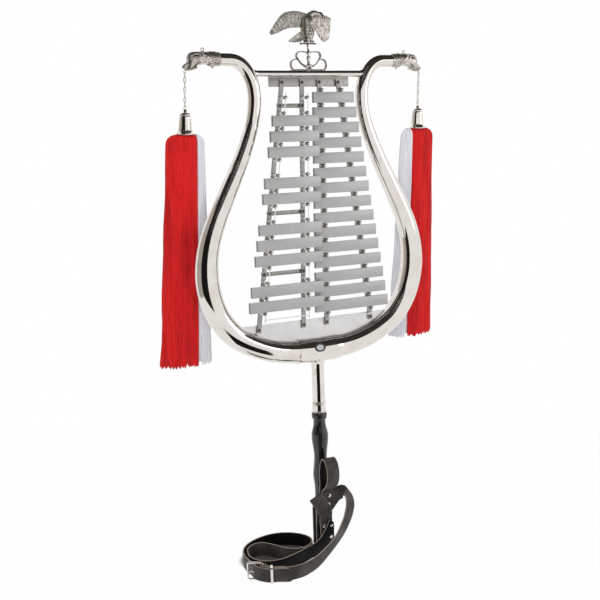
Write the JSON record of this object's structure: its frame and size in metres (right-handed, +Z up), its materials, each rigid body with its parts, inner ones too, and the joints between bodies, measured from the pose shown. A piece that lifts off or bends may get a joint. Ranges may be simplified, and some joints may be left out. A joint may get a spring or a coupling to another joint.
{
  "type": "bell lyra",
  "caption": "Lyre frame of polished tube with tuned bars on cords, eagle finial and heads, chained hair tassels, and a turned pole in a leather cradle with strap.",
  "frame": {"origin": "on the floor under the middle of the pole's foot, on the cradle's underside", "axes": "+Z up along the pole, -Y towards the viewer of the bars, +X towards the long notes' open ends at the right"},
  "size_m": [0.595, 0.1855, 1.0365],
  "materials": {
    "chrome": "polished",
    "bar_aluminium": "brushed along the bar",
    "rack_aluminium": "satin",
    "white_cord": "braided",
    "black_lacquer": "black gloss lacquer",
    "brown_leather": "worn, waxed",
    "red_hair": "combed hair",
    "white_hair": "combed hair"
  },
  "bodies": {
    "holster": {"leather_cradle": "brown_leather", "strap_short": "brown_leather", "strap_long": "brown_leather", "strap_keeper": "chrome", "buckle_frame": "chrome"},
    "prong": {"buckle_prong": "chrome"},
    "lyre": {"arm_left": "chrome", "arm_right": "chrome", "crossbar": "chrome", "base_socket": "chrome", "pole_grip": "black_lacquer", "pole_ferrule": "chrome", "top_plate": "rack_aluminium", "bottom_plate": "rack_aluminium", "rail_1": "rack_aluminium", "rail_2": "rack_aluminium", "rail_3": "rack_aluminium", "rail_4": "rack_aluminium", "brace_1": "rack_aluminium", "brace_2": "rack_aluminium", "brace_3": "rack_aluminium", "bar_natural_01": "bar_aluminium", "bar_natural_02": "bar_aluminium", "bar_natural_03": "bar_aluminium", "bar_natural_04": "bar_aluminium", "bar_natural_05": "bar_aluminium", "bar_natural_06": "bar_aluminium", "bar_natural_07": "bar_aluminium", "bar_natural_08": "bar_aluminium", "bar_natural_09": "bar_aluminium", "bar_natural_10": "bar_aluminium", "bar_natural_11": "bar_aluminium", "bar_natural_12": "bar_aluminium", "bar_natural_13": "bar_aluminium", "bar_natural_14": "bar_aluminium", "bar_natural_15": "bar_aluminium", "bar_sharp_01": "bar_aluminium", "bar_sharp_02": "bar_aluminium", "bar_sharp_03": "bar_aluminium", "bar_sharp_04": "bar_aluminium", "bar_sharp_05": "bar_aluminium", "bar_sharp_06": "bar_aluminium", "bar_sharp_07": "bar_aluminium", "bar_sharp_08": "bar_aluminium", "bar_sharp_09": "bar_aluminium", "bar_sharp_10": "bar_aluminium", "cord_sharps": "white_cord", "cord_naturals": "white_cord", "eagle_head_left": "chrome", "eagle_head_right": "chrome", "finial_base": "chrome", "finial_eagle": "chrome"},
    "left_chain": {"chain_left": "chrome"},
    "right_chain": {"chain_right": "chrome"},
    "left_tassel": {"tassel_cap_left": "chrome", "tassel_red_left": "red_hair", "tassel_white_left": "white_hair"},
    "right_tassel": {"tassel_cap_right": "chrome", "tassel_red_right": "red_hair", "tassel_white_right": "white_hair"}
  },
  "joints": [
    {"name": "pole_lift", "type": "slide", "parent": "holster", "child": "lyre", "axis": [0, 0, 1], "range_m": [0, 0.2]},
    {"name": "prong_swing", "type": "hinge", "parent": "holster", "child": "prong", "pos_m": [-0.161, -0.0625, 0.0175], "axis": [0, 0, 1], "range_deg": [0, 10]},
    {"name": "left_chain_swing", "type": "hinge", "parent": "lyre", "child": "left_chain", "pos_m": [-0.245, 0, 0.9214], "axis": [1, 0, 0], "range_deg": [0, 35]},
    {"name": "right_chain_swing", "type": "hinge", "parent": "lyre", "child": "right_chain", "pos_m": [0.245, 0, 0.9214], "axis": [1, 0, 0], "range_deg": [0, 35]},
    {"name": "left_tassel_swing", "type": "hinge", "parent": "left_chain", "child": "left_tassel", "pos_m": [-0.2447, 0.0071, 0.8652], "axis": [1, 0, 0], "range_deg": [0, 20]},
    {"name": "right_tassel_swing", "type": "hinge", "parent": "right_chain", "child": "right_tassel", "pos_m": [0.2461, 0.0071, 0.8652], "axis": [1, 0, 0], "range_deg": [0, 20]}
  ]
}
